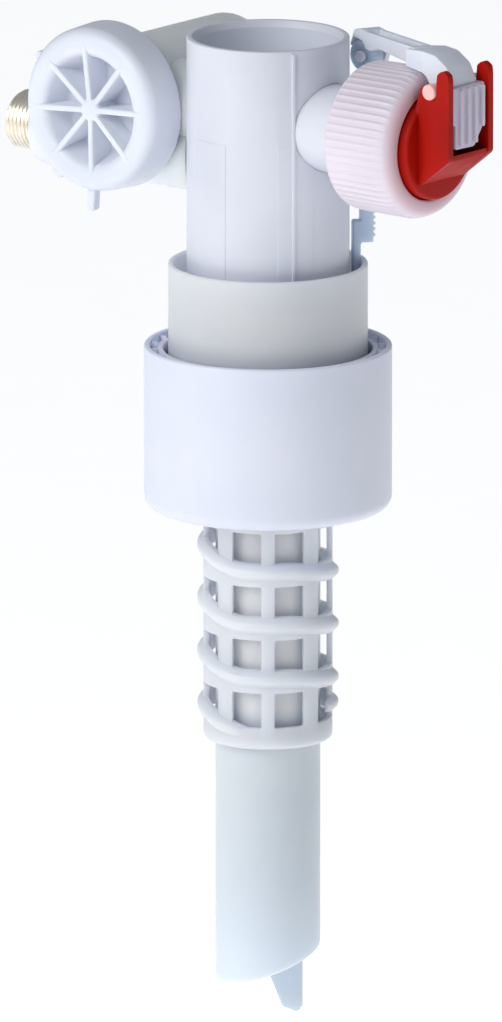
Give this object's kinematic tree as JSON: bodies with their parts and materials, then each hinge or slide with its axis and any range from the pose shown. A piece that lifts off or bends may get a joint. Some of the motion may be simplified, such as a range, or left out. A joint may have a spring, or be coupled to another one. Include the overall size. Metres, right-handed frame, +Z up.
{
  "type": "toilet fill valve",
  "caption": "Side-inlet cistern fill valve with a pilot diaphragm, a lever and a screw-adjusted float round its column.",
  "frame": {"origin": "inlet axis at the outer face of the inlet socket", "axes": "+Z up along the column, +X from the cistern's side wall into the cistern, the thread pointing to -X"},
  "size_m": [0.156, 0.0716, 0.2752],
  "materials": {
    "blue_plastic": "translucent satin",
    "white_plastic": "satin",
    "float_white": "smooth",
    "warm_white": "satin",
    "red_plastic": "satin",
    "pink_plastic": "satin",
    "blue_insert": "satin",
    "black_rubber": "matte",
    "brass": "turned, lightly plated",
    "steel": "drawn wire"
  },
  "bodies": {
    "valve": {"inlet_housing": "blue_plastic", "valve_core": "blue_plastic", "diaphragm_housing": "blue_plastic", "guide_column": "white_plastic", "inlet_nipple": "brass", "inlet_socket_ring": "white_plastic", "inlet_seal": "black_rubber", "flow_regulator": "blue_insert", "diaphragm": "black_rubber", "bleed_pin": "steel", "pilot_cover": "red_plastic", "outlet_tube": "blue_plastic", "tube_oring": "black_rubber", "outlet_blade": "blue_plastic"},
    "cap_seal": {"strainer_cap_oring": "black_rubber", "strainer": "white_plastic"},
    "cap": {"strainer_cap": "white_plastic"},
    "plate": {"diaphragm_plate": "white_plastic"},
    "nut": {"ring_nut": "warm_white"},
    "carrier": {"float_collar": "blue_plastic", "float_cage": "blue_plastic", "push_rod": "blue_plastic", "rod_clevis_pin": "blue_plastic"},
    "lever": {"lever_arm": "white_plastic", "lever_pin": "pink_plastic", "pad_holder": "white_plastic", "pilot_pad": "black_rubber"},
    "float_slide": {"float_detent_ring": "white_plastic"},
    "float": {"float_cup": "float_white", "float_lid": "float_white"}
  },
  "joints": [
    {"name": "float_travel", "type": "slide", "parent": "valve", "child": "carrier", "axis": [0, 0, 1], "range_m": [0, 0.006]},
    {"name": "lever_tilt", "type": "hinge", "parent": "valve", "child": "lever", "pos_m": [0.1385, 0, 0.029], "axis": [0, 1, 0], "range_deg": [0, 7.5]},
    {"name": "float_turn", "type": "hinge", "parent": "float_slide", "child": "float", "pos_m": [0.075, 0, -0.0955], "axis": [0, 0, 1], "range_deg": [-252, 720]},
    {"name": "float_height", "type": "slide", "parent": "carrier", "child": "float_slide", "axis": [0, 0, 1], "range_m": [-0.0296, 0.0104]},
    {"name": "diaphragm_lift", "type": "slide", "parent": "valve", "child": "plate", "axis": [1, 0, 0], "range_m": [0, 0.0015]},
    {"name": "cap_turn", "type": "hinge", "parent": "cap_seal", "child": "cap", "pos_m": [0.032, 0, 0.012], "axis": [0, -1, 0], "range_deg": [0, 900]},
    {"name": "cap_travel", "type": "slide", "parent": "valve", "child": "cap_seal", "axis": [0, -1, 0], "range_m": [0, 0.0076]},
    {"name": "nut_turn", "type": "hinge", "parent": "valve", "child": "nut", "pos_m": [0.121, 0, 0.012], "axis": [1, 0, 0], "range_deg": [0, 30]}
  ],
  "couplings": [
    {"joint": "lever_tilt", "follows": "float_travel", "rad_per_m": 21.5},
    {"joint": "float_height", "follows": "float_turn", "m_per_rad": -0.0023475},
    {"joint": "cap_travel", "follows": "cap_turn", "m_per_rad": 0.00047746}
  ]
}
